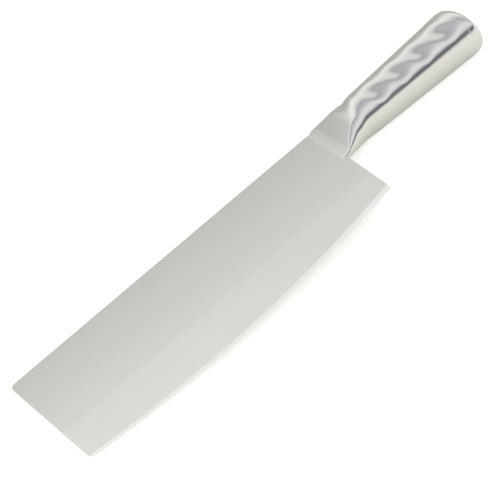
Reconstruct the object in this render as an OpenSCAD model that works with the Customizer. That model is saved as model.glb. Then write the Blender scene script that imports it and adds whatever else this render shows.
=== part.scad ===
// Cleaver with a flat sheet blade and a hollow handle, both of stainless steel.
// The blade lies in the XY plane: front end at -X, handle at +X, spine at +Y, edge at -Y.
// The origin is the centre of the whole knife's box.

/* [Blade] */
// Length of the blade from its front end to the heel
blade_len = 203; // [170:1:230]
// Height of the blade at the deepest point of the edge
blade_h = 89; // [80:1:100]
// Thickness of the blade's sheet
blade_t = 2; // [1.6:0.1:2.8]
// Distance from the front end to the deepest point of the edge
belly_x = 78; // [60:1:100]
// Radius of the edge's curve in front of the deepest point
front_curve_r = 720; // [550:10:1000]
// Radius of the edge's curve behind the deepest point
heel_curve_r = 580; // [480:10:900]
// Rounding of the front corner at the spine
tip_r = 3; // [1:0.5:6]
// Rounding of the front corner at the edge
toe_r = 5; // [2:0.5:9]
// Height of the thinned zone above the deepest point
grind_h = 32; // [20:1:42]
// Thickness that the thinned zone reaches at the deepest point
thin_t = 0.8; // [0.6:0.1:1.2]
// Slope of each cutting bevel
bevel_angle = 12; // [9:1:18]
// Thickness of the cutting edge itself
edge_t = 0.15; // [0.1:0.05:0.3]

/* [Tang] */
// Thickness of the tang inside the handle's mouth
tang_t = 1; // [0.8:0.1:1.4]
// Length of the tang past the handle's mouth
tang_len = 18; // [12:1:26]
// Height of the tang's far end
tang_end_h = 14; // [8:1:18]

/* [Handle] */
// Length of the handle's tube from its mouth to its rim
tube_len = 87.5; // [80:0.5:110]
// Radius that the tube would have at its mouth if it weren't pressed flat
neck_r = 11.2; // [10:0.1:12.5]
// Radius of the tube at its rim
rim_r = 14.65; // [13:0.05:16]
// Wall of the tube
wall = 1; // [0.8:0.1:1.4]
// Height of the handle's top above the blade's spine at the mouth
neck_rise = 1.4; // [0:0.1:2.5]
// Rise of the handle's axis towards the rim, per millimetre of length
axis_rise = 0.0126; // [0:0.0005:0.02]
// Lean of the butt, per millimetre of height, so that its lower side is longer
butt_lean = 0.27; // [0:0.01:0.35]
// Length at the rim over which the rings take up that lean
lean_len = 18; // [12:1:26]

/* [Crimp] */
// Length of the mouth's parallel lips
lip_len = 1.5; // [1:0.1:2.5]
// Distance from the mouth to the point where the lower creases end
crease_len = 14; // [10:0.5:18]
// Half thickness of the handle where the creases end
crease_z = 8; // [6:0.1:9]
// Half height of the flat facet below the axis where the creases end
crease_y = 8.6; // [7.5:0.1:9.5]
// Depth of the handle below the axis where the creases end
crease_depth = 13.8; // [12.8:0.1:14.8]
// Length behind the creases in which the tube becomes round
relax_len = 9; // [6:0.5:14]
// Depth of the handle's lower corner below the axis at the mouth
corner_depth = 19.4; // [18:0.1:20.5]
// Width of the narrow underside at the mouth, in height
corner_run = 0.6; // [0.4:0.1:1]
// Share of the tube's flattened height that the upper half of the mouth takes
upper_share = 0.96; // [0.9:0.01:1]

/* [Finger grips] */
// Number of dents along each side
dents = 4; // [0:1:4]
// Distance from the mouth to the first dent
dent_start = 34; // [32:0.5:38]
// Distance from one dent to the next
dent_pitch = 15; // [13:0.5:15.5]
// Depth of a dent
dent_depth = 1.3; // [0.5:0.1:1.8]
// Length of a dent
dent_l = 18; // [12:0.5:22]
// Width of a dent
dent_w = 12.5; // [8:0.5:14]
// Slant of the dents from square to the handle
dent_slant = 36; // [0:1:45]
// Place of the dents round the tube, towards the edge in front and towards the spine behind
dent_turn = 28; // [10:1:45]

/* [End cap] */
// Height of the domed cap
cap_h = 8; // [5:0.5:12]
// Fullness of the dome: 2 is an ellipse, more has fuller corners
cap_full = 2.5; // [2:0.1:4]
// Thickness of the cap's sheet
cap_t = 1.2; // [0.8:0.1:1.6]

/* [Welds] */
// Width of the weld between blade and handle
neck_weld_w = 3; // [2:0.1:4]
// Width of the weld between tube and cap
cap_weld_w = 1; // [0.6:0.1:1.6]

/* [Hidden] */

// Steps of the handle's surface: rings along it and points round a quarter of it.
// The inner side, which nothing shows, has every second one.
ring_step = 1.6;
face_steps = 8;
end_steps = 6;
outer_side = 1;
inner_side = 2;
cap_rings = 10;
arc_fn = 720;
corner_fn = 64;
// How far a cutting shape runs past what it cuts
over = 1;

// Handle lengths are measured from the mouth, which is in line with the heel
relax_end = crease_len + relax_len;
lip_z = tang_t / 2 + wall;
rim_x = tube_len;
cap_x = tube_len + cap_weld_w;

function clamp(t) = min(1, max(0, t));
function smooth(t) = clamp(t) * clamp(t) * (3 - 2 * clamp(t));
function mix(a, b, t) = a + (b - a) * t;

// Radius of the cone, and the height of its axis above the spine's line
function cone_r(x) = mix(neck_r, rim_r, x / tube_len);
function flat_half(r, z) = upper_share * 90 * PI / 180 * (r - z);
lip_r = cone_r(lip_len);
axis_drop = flat_half(lip_r, lip_z) + lip_z + axis_rise * lip_len - neck_rise;
function axis_y(x) = axis_rise * x - axis_drop;

// How far the pressed part has gone towards round: along the creases, then behind them
function crease_part(x) = clamp((x - lip_len) / (crease_len - lip_len));
function relax_part(x) = smooth((x - crease_len) / relax_len);

// Corner of the facet, its bulge, and the depth of the underside and the top
function split_z(x) = mix(mix(lip_z, crease_z, crease_part(x)), cone_r(x) * cos(45), relax_part(x));
function bulge(x) = max(0.01, mix(0, cone_r(x) * (1 - cos(45)), relax_part(x)));
function low_y(x) = mix(mix(corner_depth - corner_run, crease_y, crease_part(x)),
    cone_r(x) * sin(45), relax_part(x));
function low_end(x) = mix(mix(corner_depth, crease_depth, crease_part(x)), cone_r(x), relax_part(x));
function high_y(x) = mix(flat_half(cone_r(x), split_z(x)), cone_r(x) * sin(45), relax_part(x));
function high_end(x) = mix(flat_half(cone_r(x), split_z(x)) + split_z(x), cone_r(x), relax_part(x));

// Facet from the crown to its corner, then the end arc from there to the pole, as [height, z]
function face_pts(y, z, b, n) =
    let (r = (y * y + b * b) / (2 * b), span = atan2(y, r - b))
    [for (i = [0:n]) [r * sin(span * i / n), z + b - r * (1 - cos(span * i / n))]];
function end_pts(y, z, a, n) =
    let (run = a - y, r = (run * run + z * z) / (2 * run), span = atan2(z, r - run))
    [for (i = [1:n]) [a - r + r * cos(span * (n - i) / n), r * sin(span * (n - i) / n)]];
function quarter(y, z, b, a, side) =
    concat(face_pts(y, z, b, face_steps / side), end_pts(y, z, a, end_steps / side));
function reversed(list) = [for (i = [len(list) - 1:-1:0]) list[i]];
// One ring as [height above the axis, z], from the top over +Z to the bottom and back
function half_ring(high, low) = concat(
    [for (p = reversed(high)) p],
    [for (i = [1:len(low) - 1]) [-low[i][0], low[i][1]]]);
function whole_ring(half) = concat(half, [for (i = [len(half) - 2:-1:1]) [half[i][0], -half[i][1]]]);
function inset_y(x, inset) = inset * mix(0.5, sin(45), relax_part(x));
function ring(x, inset, side) = whole_ring(half_ring(
    quarter(high_y(x) - inset_y(x, inset), split_z(x) - inset, bulge(x), high_end(x) - inset, side),
    quarter(low_y(x) - inset_y(x, inset), split_z(x) - inset, bulge(x), low_end(x) - inset, side)));
function round_half(r, side) = quarter(r * sin(45), r * cos(45), r * (1 - cos(45)), r, side);
function round_ring(r, side) = whole_ring(half_ring(round_half(r, side), round_half(r, side)));

// Depth of all dents at a place on the cone: distance from the mouth and turn from the side
function wave(t) = abs(t) < 1 ? (1 + cos(180 * t)) / 2 : 0;
function dent(x, arc) =
    let (along = x * sin(dent_slant) + arc * cos(dent_slant),
        across = x * cos(dent_slant) - arc * sin(dent_slant))
    wave(2 * along / dent_l) * wave(2 * across / dent_w);
function dents_at(x, turn) = dents < 1 ? 0 : dent_depth * max([for (i = [0:dents - 1])
    dent(x - dent_start - i * dent_pitch, cone_r(x) * (turn - dent_turn) * PI / 180)]);
function dented(x, p) = p * (1 - dents_at(x, atan2(p[1] < 0 ? p[0] : -p[0], abs(p[1]))) / norm(p));

// A ring in place; the last stretch leans with the butt
function lean(x) = butt_lean * smooth((x - tube_len + lean_len) / lean_len);
function placed(x, pts, scale = 1) = [for (p = pts)
    [x - lean(x) * p[0] * scale, axis_y(x) + p[0] * scale, p[1] * scale]];
function tube_ring(x, inset, side) = placed(x, [for (p = ring(x, inset, side)) dented(x, p)]);

// Closed skin over a stack of rings
module skin(rings) {
    n = len(rings[0]);
    m = len(rings);
    polyhedron(
        points = [for (r = rings) each r],
        faces = concat(
            [[for (i = [0:n - 1]) i]],
            [for (j = [0:m - 2], i = [0:n - 1]) each [
                [j * n + i, (j + 1) * n + i, (j + 1) * n + (i + 1) % n],
                [j * n + i, (j + 1) * n + (i + 1) % n, j * n + (i + 1) % n]]],
            [[for (i = [n - 1:-1:0]) (m - 1) * n + i]]));
}

// Distances of the tube's rings from its mouth
function spread(from, to, step) =
    let (n = ceil((to - from) / step)) [for (i = [1:n]) mix(from, to, i / n)];
function tube_stops(side) = concat([0, lip_len], spread(lip_len, crease_len, 2.5 * side),
    spread(crease_len, relax_end, 1.8 * side), spread(relax_end, tube_len, ring_step * side));

module tube_outside() {
    skin([for (x = tube_stops(outer_side)) tube_ring(x, 0, outer_side)]);
}

module tube_inside() {
    stops = concat([-over], tube_stops(inner_side), [tube_len + over]);
    skin([for (x = stops) tube_ring(x, wall, inner_side)]);
}

// Dome of the cap: each ring's radius as a share of the rim's, and how far it rises
function dome_share(t) = cos(90 * t);
function dome_rise(share) = pow(1 - pow(share, cap_full), 1 / cap_full);
function rim_ring(x, share, inset, side) =
    [for (p = placed(rim_x, round_ring(rim_r - inset, side), share)) p + [x - rim_x, 0, 0]];
function dome(inset, side) = [for (i = [0:side:cap_rings])
    let (share = max(0.01, dome_share(i / cap_rings)))
    rim_ring(cap_x + (cap_h - inset) * dome_rise(share), share, inset, side)];

// The knife's own box
total_len = blade_len + max([for (r = dome(0, outer_side)) each [for (p = r) p[0]]]);
top_y = max(0, max([for (x = tube_stops(outer_side)) axis_y(x) + high_end(x)]));
centre = [total_len / 2, (top_y - blade_h) / 2, 0];

module in_frame() {
    translate(-centre) children();
}

module handle_frame() {
    in_frame() translate([blade_len, 0, 0]) children();
}

// Where the toe's rounding meets the edge's front curve
front_centre_y = front_curve_r - blade_h;
heel_centre_y = heel_curve_r - blade_h;
toe_y = front_centre_y - sqrt(pow(front_curve_r - toe_r, 2) - pow(belly_x - toe_r, 2));
toe_x = belly_x - (belly_x - toe_r) * front_curve_r / (front_curve_r - toe_r);

module outline() {
    // Behind and in front of the deepest point
    intersection() {
        translate([belly_x, -blade_h]) square([blade_len - belly_x, blade_h]);
        translate([belly_x, heel_centre_y]) circle(r = heel_curve_r, $fn = arc_fn);
    }
    intersection() {
        translate([toe_x, -blade_h]) square([belly_x - toe_x, blade_h - tip_r]);
        translate([belly_x, front_centre_y]) circle(r = front_curve_r, $fn = arc_fn);
    }
    translate([tip_r, -tip_r * 2]) square([belly_x - tip_r, tip_r * 2]);
    // Front end with its two rounded corners
    translate([0, toe_y]) square([toe_r, -toe_y - tip_r]);
    translate([tip_r, -tip_r]) circle(r = tip_r, $fn = corner_fn);
    translate([toe_r, toe_y]) circle(r = toe_r, $fn = corner_fn);
}

// Section of the sheet across the blade: parallel above, thinned towards the edge
module sheet_section() {
    low = blade_h + over;
    slope = (blade_t - thin_t) / 2 / grind_h;
    low_half = blade_t / 2 - slope * (grind_h + over);
    polygon([[over, -blade_t / 2], [over, blade_t / 2], [grind_h - blade_h, blade_t / 2],
        [-low, low_half], [-low, -low_half], [grind_h - blade_h, -blade_t / 2]]);
}

// Ring whose inner cone is one cutting bevel of a curve of radius r
module bevel_cutter(r, start, sweep) {
    rise = 4;
    run = rise / tan(bevel_angle);
    rotate([0, 0, start]) rotate_extrude(angle = sweep, $fn = arc_fn)
        polygon([[r + over, edge_t / 2 - over * tan(bevel_angle)], [r + over, edge_t / 2 + rise],
            [r - run, edge_t / 2 + rise]]);
}

module bevels() {
    front_sweep = asin((belly_x + over) / front_curve_r);
    heel_sweep = asin((blade_len - belly_x + over) / heel_curve_r);
    translate([belly_x, front_centre_y, 0]) bevel_cutter(front_curve_r, 270 - front_sweep, front_sweep);
    translate([belly_x, heel_centre_y, 0]) bevel_cutter(heel_curve_r, 270, heel_sweep);
}

// Tang, narrower towards its end so that it clears the closing tube
tang_top = axis_y(0) + high_y(0) - inset_y(0, wall);
tang_low = axis_y(0) - low_y(0) + inset_y(0, wall);
tang_end_y = axis_y(tang_len);

module tang() {
    translate([blade_len, 0, -tang_t / 2]) linear_extrude(tang_t)
        polygon([[-neck_weld_w - over, tang_top], [lip_len, tang_top],
            [tang_len, tang_end_y + tang_end_h / 2], [tang_len, tang_end_y - tang_end_h / 2],
            [lip_len, tang_low], [-neck_weld_w - over, tang_low]]);
}

module blade() {
    color("silver") in_frame() union() {
        difference() {
            intersection() {
                translate([0, 0, -blade_t]) linear_extrude(blade_t * 2) outline();
                rotate([90, 0, 90]) linear_extrude(blade_len + over) sheet_section();
            }
            bevels();
            mirror([0, 0, 1]) bevels();
            // Step at the neck that the weld fills
            translate([blade_len - neck_weld_w, axis_y(0) - corner_depth, -blade_t])
                cube([neck_weld_w + over, corner_depth - axis_y(0) + over, blade_t * 2]);
        }
        tang();
    }
}

module handle_tube() {
    color("gainsboro") handle_frame() difference() {
        tube_outside();
        tube_inside();
    }
}

module end_cap() {
    color("gainsboro") handle_frame() difference() {
        skin(dome(0, outer_side));
        skin(concat([rim_ring(cap_x - over, 1, cap_t, inner_side)], dome(cap_t, inner_side)));
    }
}

module cap_weld() {
    color("lightgray") handle_frame() difference() {
        skin([for (x = [rim_x, cap_x]) rim_ring(x, 1, 0, outer_side)]);
        skin([for (x = [rim_x - over, cap_x + over]) rim_ring(x, 1, wall, inner_side)]);
    }
}

// Weld between the blade's step and the mouth: as thick as the blade there, then as the lips
module neck_weld() {
    color("lightgray") handle_frame() difference() {
        skin([weld_ring(-neck_weld_w, blade_t / 2, -axis_y(0)), weld_ring(-neck_weld_w / 2, lip_z, high_end(0)),
            placed(0, ring(0, 0, outer_side))]);
        translate([-blade_len, 0, 0]) tang();
    }
}
function weld_ring(x, half, top) = [for (p = ring(0, 0, outer_side))
    [x, axis_y(0) + (p[0] > 0 ? p[0] * top / high_end(0) : p[0]), p[1] * half / lip_z]];

blade();
handle_tube();
end_cap();
neck_weld();
cap_weld();
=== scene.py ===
import bpy
from math import atan2, ceil, cos, hypot, pi, radians, sin, sqrt
from mathutils import Matrix, Vector


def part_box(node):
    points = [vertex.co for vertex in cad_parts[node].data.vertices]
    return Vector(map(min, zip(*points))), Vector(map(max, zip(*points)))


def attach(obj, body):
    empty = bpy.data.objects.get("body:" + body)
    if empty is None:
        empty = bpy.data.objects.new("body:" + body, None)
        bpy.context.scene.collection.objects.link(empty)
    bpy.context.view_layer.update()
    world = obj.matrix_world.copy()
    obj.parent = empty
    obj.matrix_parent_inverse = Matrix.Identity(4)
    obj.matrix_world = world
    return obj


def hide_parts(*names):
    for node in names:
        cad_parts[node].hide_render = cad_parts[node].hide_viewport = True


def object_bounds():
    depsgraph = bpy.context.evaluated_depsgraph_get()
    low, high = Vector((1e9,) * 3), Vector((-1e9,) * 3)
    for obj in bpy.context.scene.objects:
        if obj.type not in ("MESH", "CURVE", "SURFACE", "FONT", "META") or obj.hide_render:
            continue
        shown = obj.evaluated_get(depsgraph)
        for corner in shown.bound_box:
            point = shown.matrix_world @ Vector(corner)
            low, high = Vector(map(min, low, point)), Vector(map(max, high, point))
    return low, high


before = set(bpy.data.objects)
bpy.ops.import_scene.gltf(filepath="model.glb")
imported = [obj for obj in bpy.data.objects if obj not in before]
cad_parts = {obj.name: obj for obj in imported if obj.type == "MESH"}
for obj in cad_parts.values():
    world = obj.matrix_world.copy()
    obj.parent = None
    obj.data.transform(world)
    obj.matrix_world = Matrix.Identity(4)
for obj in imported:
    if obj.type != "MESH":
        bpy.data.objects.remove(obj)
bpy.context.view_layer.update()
mm = 0.001
halfRoot = sqrt(0.5)
white = (1, 1, 1, 1)
print("frame loaded")


# small helpers
def hexToLinear(code):
    # sRGB hex to the linear colour that shaders take
    parts = [int(code[i:i + 2], 16) / 255 for i in (1, 3, 5)]
    return [p / 12.92 if p <= 0.04045 else ((p + 0.055) / 1.055) ** 2.4 for p in parts] + [1.0]


def addNode(tree, kind, settings=None, **links):
    # one node with its settings; links maps an input's name or number to a value or another node's output
    node = tree.nodes.new(kind)
    for name, value in (settings or {}).items():
        setattr(node, name, value)
    for name, value in links.items():
        key = int(name[1:]) if name[0] == "i" and name[1:].isdigit() else name.replace("_", " ")
        if isinstance(value, bpy.types.NodeSocket):
            tree.links.new(value, node.inputs[key])
        else:
            node.inputs[key].default_value = value
    return node


def addMesh(name, points, faces):
    mesh = bpy.data.meshes.new(name)
    mesh.from_pydata(points, [], faces)
    piece = bpy.data.objects.new(name, mesh)
    bpy.context.scene.collection.objects.link(piece)
    return piece


def clamp(t):
    return min(1.0, max(0.0, t))


def smooth(t):
    return clamp(t) ** 2 * (3 - 2 * clamp(t))


def mix(a, b, t):
    return a + (b - a) * t


def spread(start, stop, step):
    # even places after start, up to and with stop
    count = ceil((stop - start) / step)
    return [mix(start, stop, i / count) for i in range(1, count + 1)]


# the handle's tube in millimetres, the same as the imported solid's
tube = {
    "length": 87.5, "wall": 1.0,
    "neckR": 11.2, "rimR": 14.65,          # the cone's radius at the mouth and at the rim
    "neckRise": 1.4,                       # the mouth's top over the spine's line
    "axisRise": 0.0126,                    # climb of the axis for each millimetre
    "buttLean": 0.27, "leanLength": 18.0,  # lean of the rim and the stretch it takes
    "lipLength": 1.5, "tangThick": 1.0,    # parallel lips over the blade's tang
    "flatShare": 0.96,                     # pressed height, as a share of half the girth
    "cornerDepth": 19.4, "cornerRun": 0.6,
    "creaseLength": 14.0, "creaseZ": 8.0, "creaseY": 8.6, "creaseDepth": 13.8,
    "relaxLength": 9.0,                    # behind the creases the tube turns round in this length
    "bendReach": 1.6,                      # the press leaves soft bends, averaged this far each way
    "leastBulge": 0.01,
}
tubeMesh = {"faceSteps": 18, "endSteps": 12, "lipStep": 0.5, "ringStep": 0.6, "innerStep": 2.4}

lipZ = tube["tangThick"] / 2 + tube["wall"]


def coneR(x):
    return mix(tube["neckR"], tube["rimR"], x / tube["length"])


def flatHalf(r, z):
    # half width of the flat that a round of radius r gives when it is pressed down to z
    return tube["flatShare"] * pi / 2 * (r - z)


axisDrop = (flatHalf(coneR(tube["lipLength"]), lipZ) + lipZ
            + tube["axisRise"] * tube["lipLength"] - tube["neckRise"])


def axisY(x):
    return tube["axisRise"] * x - axisDrop


def sharpSection(x):
    # corner height, corner depth and bulge of the pressed section, and where its two poles lie
    crease = clamp((x - tube["lipLength"]) / (tube["creaseLength"] - tube["lipLength"]))
    relax = smooth((x - tube["creaseLength"]) / tube["relaxLength"])
    r = coneR(x)
    z = mix(mix(lipZ, tube["creaseZ"], crease), r * halfRoot, relax)
    flat = flatHalf(r, z)
    pressedY = mix(tube["cornerDepth"] - tube["cornerRun"], tube["creaseY"], crease)
    pressedEnd = mix(tube["cornerDepth"], tube["creaseDepth"], crease)
    return {
        "z": z, "relax": relax,
        "bulge": max(tube["leastBulge"], mix(0, r * (1 - halfRoot), relax)),
        "lowY": mix(pressedY, r * halfRoot, relax), "lowEnd": mix(pressedEnd, r, relax),
        "highY": mix(flat, r * halfRoot, relax), "highEnd": mix(flat + z, r, relax),
    }


def sectionAt(x):
    places = [max(0.0, x + part * tube["bendReach"]) for part in (-1, -0.5, 0, 0.5, 1)]
    around = [sharpSection(place) for place in places]
    return {name: sum(section[name] for section in around) / len(around) for name in around[0]}


def quarter(y, z, bulge, end):
    # bulged face from the crown to its corner, then the end arc from there to the pole
    faceSteps, endSteps = tubeMesh["faceSteps"], tubeMesh["endSteps"]
    r = (y * y + bulge * bulge) / (2 * bulge)
    span = atan2(y, r - bulge)
    turns = [span * i / faceSteps for i in range(faceSteps + 1)]
    face = [(r * sin(turn), z + bulge - r * (1 - cos(turn))) for turn in turns]
    run = end - y
    r = (run * run + z * z) / (2 * run)
    span = atan2(z, r - run)
    turns = [span * (endSteps - i) / endSteps for i in range(1, endSteps + 1)]
    return face + [(end - r + r * cos(turn), r * sin(turn)) for turn in turns]


def wholeRing(high, low):
    half = high[::-1] + [(-y, z) for y, z in low[1:]]
    return half + [(y, -z) for y, z in half[-2:0:-1]]


def pressedRing(x, inset=0.0):
    # inset is the wall for the inner face; a sharp corner takes half of it, a round one its diagonal
    section = sectionAt(x)
    side = inset * mix(0.5, halfRoot, section["relax"])
    z = section["z"] - inset
    high = quarter(section["highY"] - side, z, section["bulge"], section["highEnd"] - inset)
    low = quarter(section["lowY"] - side, z, section["bulge"], section["lowEnd"] - inset)
    return wholeRing(high, low)


def roundRing(r):
    arc = quarter(r * halfRoot, r * halfRoot, r * (1 - halfRoot), r)
    return wholeRing(arc, arc)


# finger dents: in front they lie towards the edge, behind towards the spine
dents = {"count": 4, "start": 34.0, "pitch": 15.0, "depth": 1.3, "length": 18.0, "width": 12.5,
         "slant": 36.0, "turn": 28.0}


def wave(t):
    return (1 + cos(pi * t)) / 2 if abs(t) < 1 else 0.0


def dentDepth(x, turn):
    slant = radians(dents["slant"])
    arc = coneR(x) * radians(turn - dents["turn"])
    deepest = 0.0
    for i in range(dents["count"]):
        run = x - dents["start"] - i * dents["pitch"]
        along = run * sin(slant) + arc * cos(slant)
        across = run * cos(slant) - arc * sin(slant)
        deepest = max(deepest, wave(2 * along / dents["length"]) * wave(2 * across / dents["width"]))
    return dents["depth"] * deepest


def dented(x, ring):
    points = []
    for y, z in ring:
        turn = atan2(y if z < 0 else -y, abs(z)) * 180 / pi
        share = 1 - dentDepth(x, turn) / hypot(y, z)
        points.append((y * share, z * share))
    return points


# the mouth's place along the knife and the spine's height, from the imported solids
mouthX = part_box("handle_tube")[0].x
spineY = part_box("blade")[1].y


def placed(x, ring, shift=0.0):
    # a ring about the axis, leaning with the butt, in the scene's metres
    lean = tube["buttLean"] * smooth((x - tube["length"] + tube["leanLength"]) / tube["leanLength"])
    return [(mouthX + (x + shift - lean * y) * mm, spineY + (axisY(x) + y) * mm, z * mm) for y, z in ring]


def sleeve(name, outer, inner):
    # closed solid between an outer and an inner stack of rings, which start and end together
    rings = outer + inner[::-1]
    size = len(rings[0])
    points = [point for ring in rings for point in ring]
    faces = []
    for j in range(len(rings)):
        here, there = j * size, (j + 1) % len(rings) * size
        for i in range(size):
            after = (i + 1) % size
            faces.append((here + i, here + after, there + after, there + i))
    piece = addMesh(name, points, faces)
    piece.data.polygons.foreach_set("use_smooth", [True] * len(faces))
    rims = (0, len(outer) - 1)
    for edge in piece.data.edges:
        a, b = edge.vertices
        if a // size == b // size and a // size in rims:
            edge.use_edge_sharp = True
    return piece


def makeTube():
    lips = spread(0, tube["lipLength"], tubeMesh["lipStep"])
    creased = spread(tube["lipLength"], tube["creaseLength"], tubeMesh["ringStep"])
    rest = spread(tube["creaseLength"], tube["length"], tubeMesh["ringStep"])
    inside = spread(0, tube["length"], tubeMesh["innerStep"])
    outer = [placed(x, dented(x, pressedRing(x))) for x in [0.0] + lips + creased + rest]
    inner = [placed(x, dented(x, pressedRing(x, tube["wall"]))) for x in [0.0] + inside]
    return sleeve("handleTube", outer, inner)


# domed cap, a hair lower than the solid's so that its finer rings stay inside the solid's box,
# and the weld between it and the rim, ground a hair under the surface
cap = {"height": 7.99, "fullness": 2.5, "sheet": 1.2, "rings": 24, "leastShare": 0.004,
       "weldWidth": 1.0, "weldDip": 0.05, "weldSteps": 6}


def domeRings(inset):
    rings = []
    for i in range(cap["rings"] + 1):
        share = max(cap["leastShare"], cos(pi / 2 * i / cap["rings"]))
        rise = (cap["height"] - inset) * (1 - share ** cap["fullness"]) ** (1 / cap["fullness"])
        scaled = [(y * share, z * share) for y, z in roundRing(tube["rimR"] - inset)]
        rings.append(placed(tube["length"], scaled, cap["weldWidth"] + rise))
    return rings


def makeCap():
    return sleeve("endCap", domeRings(0), domeRings(cap["sheet"]))


def makeCapWeld():
    outer, inner = [], []
    for i in range(cap["weldSteps"] + 1):
        part = i / cap["weldSteps"]
        shift = cap["weldWidth"] * part
        outer.append(placed(tube["length"], roundRing(tube["rimR"] - cap["weldDip"] * sin(pi * part)), shift))
        inner.append(placed(tube["length"], roundRing(tube["rimR"] - tube["wall"]), shift))
    return sleeve("capWeld", outer, inner)


# weld between the blade and the mouth
neck = {"width": 3.0, "bladeThick": 2.0, "proud": 0.05, "steps": 8,
        "sideFrom": 0.5,      # only points this far from the middle plane stand proud
        "coreShare": 0.9}     # height of the tang's room, as a share of the mouth's


def makeNeckWeld():
    # from the blade's thickness and the spine's line to the lips, a little proud in the middle
    mouth = pressedRing(0)
    highEnd = sectionAt(0)["highEnd"]
    core = tube["tangThick"] / 2 / lipZ
    outer, inner = [], []
    for i in range(neck["steps"] + 1):
        part = i / neck["steps"]
        x = mouthX - neck["width"] * (1 - part) * mm
        thick = mix(neck["bladeThick"] / 2, lipZ, smooth(part)) / lipZ
        top = mix(-axisY(0), highEnd, smooth(part)) / highEnd
        proud = neck["proud"] * sin(pi * part)
        outerRing = []
        for y, z in mouth:
            side = 1 if z > neck["sideFrom"] else -1 if z < -neck["sideFrom"] else 0
            outerRing.append((x, spineY + (axisY(0) + (y * top if y > 0 else y)) * mm,
                              (z * thick + side * proud) * mm))
        outer.append(outerRing)
        inner.append([(x, spineY + (axisY(0) + y * neck["coreShare"]) * mm, z * core * mm) for y, z in mouth])
    return sleeve("neckWeld", outer, inner)


def steelBase(name, colour, roughness):
    material = bpy.data.materials.new(name)
    material.use_nodes = True
    tree = material.node_tree
    shader = tree.nodes["Principled BSDF"]
    shader.inputs["Base Color"].default_value = hexToLinear(colour)
    shader.inputs["Metallic"].default_value = 1.0
    shader.inputs["Roughness"].default_value = roughness
    return material, tree, shader


def noiseAt(tree, place, sizeMm, detail):
    return addNode(tree, "ShaderNodeTexNoise", Vector=place, Scale=1 / (sizeMm * mm), Detail=detail)


# blade: the marks are drawn coarser than real grit so that they show, and markStretch makes them upright
satin = {"colour": "#DAD9D5", "roughness": 0.32, "roughSpread": 0.03,
         "markMm": 0.35, "markStretch": 0.03, "markDepthMm": 0.02, "markStrength": 0.12, "markShare": 0.5,
         "cloudScale": 18.0, "darkest": 0.4, "palest": 1.1}
# bevel: its lower roughness is the honed finish, its paler colour is a painted highlight
honedBevelAndHighlight = {"colour": "#F4F4F0", "roughness": 0.24, "flatUpTo": 0.998, "turnedFrom": 0.985}


def satinSteel():
    # cold rolled stainless sheet, belt ground along its height: soft, even sheen with faint upright marks
    material, tree, shader = steelBase("satinGroundStainless", satin["colour"], satin["roughness"])
    place = addNode(tree, "ShaderNodeTexCoord")
    stretch = addNode(tree, "ShaderNodeMapping", Vector=place.outputs["Object"],
                      Scale=(1.0, satin["markStretch"], 1.0))
    marks = noiseAt(tree, stretch.outputs[0], satin["markMm"], 3.0)
    clouds = addNode(tree, "ShaderNodeTexNoise", Vector=place.outputs["Object"],
                     Scale=satin["cloudScale"], Detail=2.0)
    both = addNode(tree, "ShaderNodeMath", {"operation": "MULTIPLY_ADD"}, i0=marks.outputs[0],
                   i1=satin["markShare"], i2=clouds.outputs[0])
    rough = addNode(tree, "ShaderNodeMapRange", Value=both.outputs[0], i1=satin["darkest"],
                    i2=satin["palest"], i3=satin["roughness"] - satin["roughSpread"],
                    i4=satin["roughness"] + satin["roughSpread"])
    # the cutting bevel is honed: where the form turns from flat it is clearer, which is real, and paler,
    # which is a painted highlight
    split = addNode(tree, "ShaderNodeSeparateXYZ", Vector=place.outputs["Normal"])
    upright = addNode(tree, "ShaderNodeMath", {"operation": "ABSOLUTE"}, i0=split.outputs["Z"])
    turned = addNode(tree, "ShaderNodeMapRange", Value=upright.outputs[0], i1=honedBevelAndHighlight["flatUpTo"],
                     i2=honedBevelAndHighlight["turnedFrom"], i3=0.0, i4=1.0)
    # paler base colour where the form turns from flat: a painted highlight on the bevel
    colour = addNode(tree, "ShaderNodeMix", {"data_type": "RGBA"}, i0=turned.outputs[0],
                     i6=hexToLinear(satin["colour"]), i7=hexToLinear(honedBevelAndHighlight["colour"]))
    clear = addNode(tree, "ShaderNodeMix", i0=turned.outputs[0], i2=rough.outputs[0], i3=honedBevelAndHighlight["roughness"])
    tree.links.new(colour.outputs[2], shader.inputs["Base Color"])
    tree.links.new(clear.outputs[0], shader.inputs["Roughness"])
    bump = addNode(tree, "ShaderNodeBump", Strength=satin["markStrength"],
                   Distance=satin["markDepthMm"] * mm, Height=marks.outputs[0])
    tree.links.new(bump.outputs[0], shader.inputs["Normal"])
    return material


# handle and cap
polish = {"colour": "#DCDCD8", "roughness": 0.15, "clearer": 0.03, "duller": 0.05,
          "rippleMm": 9.0, "rippleDepthMm": 0.04, "rippleStrength": 0.5,
          "lineMm": 0.5, "lineStretch": 0.06, "lineDepthMm": 0.012, "lineStrength": 0.4,
          "hazeMm": 2.5, "hazeFrom": 0.3, "hazeTo": 0.7}


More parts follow.
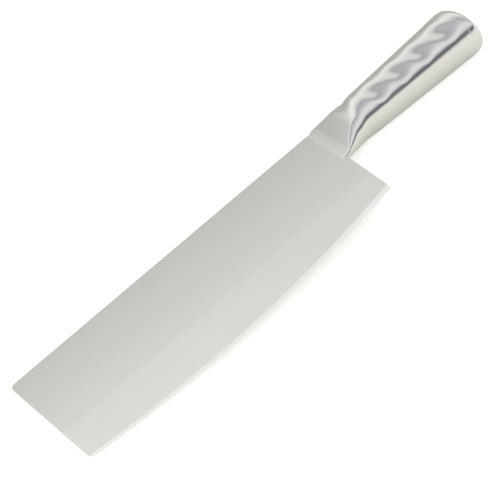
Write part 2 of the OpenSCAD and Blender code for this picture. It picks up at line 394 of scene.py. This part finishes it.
def polishedSteel():
    # pressed stainless tube, buffed on a soft wheel: reflections that waver, with faint lengthwise lines
    material, tree, shader = steelBase("buffedStainless", polish["colour"], polish["roughness"])
    place = addNode(tree, "ShaderNodeTexCoord")
    ripple = noiseAt(tree, place.outputs["Object"], polish["rippleMm"], 2.0)
    along = addNode(tree, "ShaderNodeMapping", Vector=place.outputs["Object"],
                    Scale=(polish["lineStretch"], 1.0, 1.0))
    lines = noiseAt(tree, along.outputs[0], polish["lineMm"], 3.0)
    haze = noiseAt(tree, along.outputs[0], polish["hazeMm"], 4.0)
    rough = addNode(tree, "ShaderNodeMapRange", Value=haze.outputs[0], i1=polish["hazeFrom"],
                    i2=polish["hazeTo"], i3=polish["roughness"] - polish["clearer"],
                    i4=polish["roughness"] + polish["duller"])
    tree.links.new(rough.outputs[0], shader.inputs["Roughness"])
    bump = addNode(tree, "ShaderNodeBump", Strength=polish["rippleStrength"],
                   Distance=polish["rippleDepthMm"] * mm, Height=ripple.outputs[0])
    scored = addNode(tree, "ShaderNodeBump", Strength=polish["lineStrength"],
                     Distance=polish["lineDepthMm"] * mm, Height=lines.outputs[0], Normal=bump.outputs[0])
    tree.links.new(scored.outputs[0], shader.inputs["Normal"])
    return material


# both welds
weld = {"colour": "#DEDDD9", "roughness": 0.3, "scratchMm": 0.5, "scratchDepthMm": 0.03,
        "scratchStrength": 0.4}


def groundWeld():
    # filler metal ground flush and linished: a touch paler than the sheet, with short scratches
    material, tree, shader = steelBase("groundWeldStainless", weld["colour"], weld["roughness"])
    place = addNode(tree, "ShaderNodeTexCoord")
    scratch = noiseAt(tree, place.outputs["Object"], weld["scratchMm"], 4.0)
    bump = addNode(tree, "ShaderNodeBump", Strength=weld["scratchStrength"],
                   Distance=weld["scratchDepthMm"] * mm, Height=scratch.outputs[0])
    tree.links.new(bump.outputs[0], shader.inputs["Normal"])
    return material


def dress(piece, material, slotName, *nodes):
    piece.data.materials.clear()
    piece.data.materials.append(material)
    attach(piece, "root")
    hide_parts(*nodes)


buffed = polishedSteel()
ground = groundWeld()
dress(makeTube(), buffed, "polished_steel", "handle_tube")
dress(makeCap(), buffed, "polished_steel", "end_cap")
dress(makeCapWeld(), ground, "ground_weld", "cap_weld")
dress(makeNeckWeld(), ground, "ground_weld", "neck_weld")
print("handle made")

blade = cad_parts["blade"]
blade.data.materials.clear()
blade.data.materials.append(satinSteel())
print("blade dressed")


def stageMaterial(name):
    material = bpy.data.materials.new(name)
    material.use_nodes = True
    material.node_tree.nodes.clear()
    return material, material.node_tree


# floor: lift is its own glow to the camera, mirrorLift its glow in the steel, sizes in metres
floorStage = {"size": 6.0, "colour": "#F6F5EF", "lift": 0.55, "mirrorLift": 0.12}


def makeFloor():
    # the knife rests on its butt and on the blade's front end, so the floor leans by the few degrees between
    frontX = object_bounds()[0][0]
    handleLow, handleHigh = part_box("handle_tube")
    bladeLow = -neck["bladeThick"] / 2 * mm
    slope = (bladeLow - handleLow.z) / (handleHigh.x - frontX)
    half = floorStage["size"] / 2
    corners = [(x, y, bladeLow - slope * (x - frontX)) for x, y in
               ((-half, -half), (half, -half), (half, half), (-half, half))]
    floor = addMesh("floor", corners, [(0, 1, 2, 3)])
    material, tree = stageMaterial("paleFloor")
    path = addNode(tree, "ShaderNodeLightPath")
    seen = addNode(tree, "ShaderNodeMath", {"operation": "MULTIPLY"}, i0=path.outputs["Is Glossy Ray"],
                   i1=floorStage["mirrorLift"])
    lift = addNode(tree, "ShaderNodeMath", {"operation": "MULTIPLY_ADD"}, i0=path.outputs["Is Camera Ray"],
                   i1=floorStage["lift"], i2=seen.outputs[0])
    glow = addNode(tree, "ShaderNodeEmission", Color=white, Strength=lift.outputs[0])
    matt = addNode(tree, "ShaderNodeBsdfDiffuse", Color=hexToLinear(floorStage["colour"]))
    total = addNode(tree, "ShaderNodeAddShader", i0=matt.outputs[0], i1=glow.outputs[0])
    addNode(tree, "ShaderNodeOutputMaterial", Surface=total.outputs[0])
    floor.data.materials.append(material)


# sky: bands go by the turn in degrees about the knife's length, from the side that the edge faces,
# over the top, to the side that the spine faces
sky = {"level": 1.0,
       "bands": [(0, "#D8D6D0"), (5, "#8C8C90"), (9, "#6E6E76"), (17, "#6E6E76"), (25, "#E2E6F0"),
                 (33, "#FFFFFF"), (50, "#F4F6FC"), (64, "#D2D5DC"), (88, "#BDBEC2"), (108, "#DFE0E4"),
                 (128, "#F2F2F2"), (150, "#DCDCDA"), (162, "#CACAC8"), (180, "#B8B8B6")]}


def makeWorld():
    # white to the camera and for even light; only reflections see the bands
    world = bpy.data.worlds.new("studio")
    bpy.context.scene.world = world
    world.use_nodes = True
    tree = world.node_tree
    even = tree.nodes["Background"]
    even.inputs["Color"].default_value = white
    even.inputs["Strength"].default_value = sky["level"]
    place = addNode(tree, "ShaderNodeTexCoord")
    split = addNode(tree, "ShaderNodeSeparateXYZ", Vector=place.outputs["Generated"])
    back = addNode(tree, "ShaderNodeMath", {"operation": "MULTIPLY"}, i0=split.outputs["Y"], i1=-1.0)
    angle = addNode(tree, "ShaderNodeMath", {"operation": "ARCTAN2"}, i0=split.outputs["Z"],
                    i1=back.outputs[0])
    share = addNode(tree, "ShaderNodeMath", {"operation": "DIVIDE"}, i0=angle.outputs[0], i1=pi)
    ramp = addNode(tree, "ShaderNodeValToRGB", Fac=share.outputs[0])
    stops = ramp.color_ramp.elements
    while len(stops) < len(sky["bands"]):
        stops.new(0.5)
    for stop, (degrees, colour) in zip(stops, sky["bands"]):
        stop.position = degrees / 180
        stop.color = hexToLinear(colour)
    banded = addNode(tree, "ShaderNodeBackground", Color=ramp.outputs[0], Strength=sky["level"])
    path = addNode(tree, "ShaderNodeLightPath")
    both = addNode(tree, "ShaderNodeMixShader", Fac=path.outputs["Is Glossy Ray"], i1=even.outputs[0],
                   i2=banded.outputs[0])
    tree.links.new(both.outputs[0], tree.nodes["World Output"].inputs["Surface"])


# softbox over the spine's side, in metres; levels run from its near edge to its peak and its far edge
card = {"halfWidth": 0.4, "near": 0.02, "peak": 0.11, "far": 0.31, "high": 0.15,
        "nearLevel": 0.85, "peakLevel": 1.25, "farLevel": 0.42,
        "gainReach": 0.12, "leftGain": 1.0, "rightGain": 0.9}


def makeCard():
    # graded so that the satin blade gets lighter towards its edge, and most of all at the front
    reach, near, far = card["halfWidth"], card["near"], card["far"]
    corners = [(x, y, card["high"]) for x, y in ((-reach, near), (reach, near), (reach, far), (-reach, far))]
    softbox = addMesh("bladeCard", corners, [(0, 1, 2, 3)])
    material, tree = stageMaterial("gradedSoftbox")
    place = addNode(tree, "ShaderNodeTexCoord")
    split = addNode(tree, "ShaderNodeSeparateXYZ", Vector=place.outputs["Object"])
    rise = addNode(tree, "ShaderNodeMapRange", Value=split.outputs["Y"], i1=near, i2=card["peak"],
                   i3=card["nearLevel"], i4=card["peakLevel"])
    fall = addNode(tree, "ShaderNodeMapRange", Value=split.outputs["Y"], i1=card["peak"], i2=far,
                   i3=card["peakLevel"], i4=card["farLevel"])
    level = addNode(tree, "ShaderNodeMath", {"operation": "MINIMUM"}, i0=rise.outputs[0], i1=fall.outputs[0])
    gain = addNode(tree, "ShaderNodeMapRange", Value=split.outputs["X"], i1=-card["gainReach"],
                   i2=card["gainReach"], i3=card["leftGain"], i4=card["rightGain"])
    graded = addNode(tree, "ShaderNodeMath", {"operation": "MULTIPLY"}, i0=level.outputs[0],
                     i1=gain.outputs[0])
    glow = addNode(tree, "ShaderNodeEmission", Color=white, Strength=graded.outputs[0])
    addNode(tree, "ShaderNodeOutputMaterial", Surface=glow.outputs[0])
    softbox.data.materials.append(material)
    softbox.visible_camera = False
    softbox.visible_diffuse = False
    softbox.visible_shadow = False


# the photo's view: aim and distance in metres, angles in degrees, lens and sensor in millimetres
view = {"aim": (-0.0173, 0.0035, 0.0), "distance": 2.003, "turn": 13.3, "elevation": 37.2, "roll": 32.2,
        "lens": 288.0, "sensor": 36.0, "clipEnd": 20.0}


def makeCamera():
    turn, rise, roll = radians(view["turn"]), radians(view["elevation"]), radians(view["roll"])
    forward = Vector((sin(turn) * cos(rise), cos(turn) * cos(rise), -sin(rise)))
    level = Vector((cos(turn), -sin(turn), 0))
    upright = level.cross(forward)
    right = level * cos(roll) - upright * sin(roll)
    up = right.cross(forward)
    data = bpy.data.cameras.new("photoCamera")
    data.lens = view["lens"]
    data.sensor_width = view["sensor"]
    data.clip_end = view["clipEnd"]
    camera = bpy.data.objects.new("photoCamera", data)
    bpy.context.scene.collection.objects.link(camera)
    rotation = Matrix((right, up, -forward)).transposed().to_4x4()
    camera.matrix_world = Matrix.Translation(Vector(view["aim"]) - forward * view["distance"]) @ rotation
    bpy.context.scene.camera = camera


makeFloor()
makeWorld()
makeCard()
makeCamera()
bpy.context.scene.view_settings.view_transform = "Standard"
print("stage set")
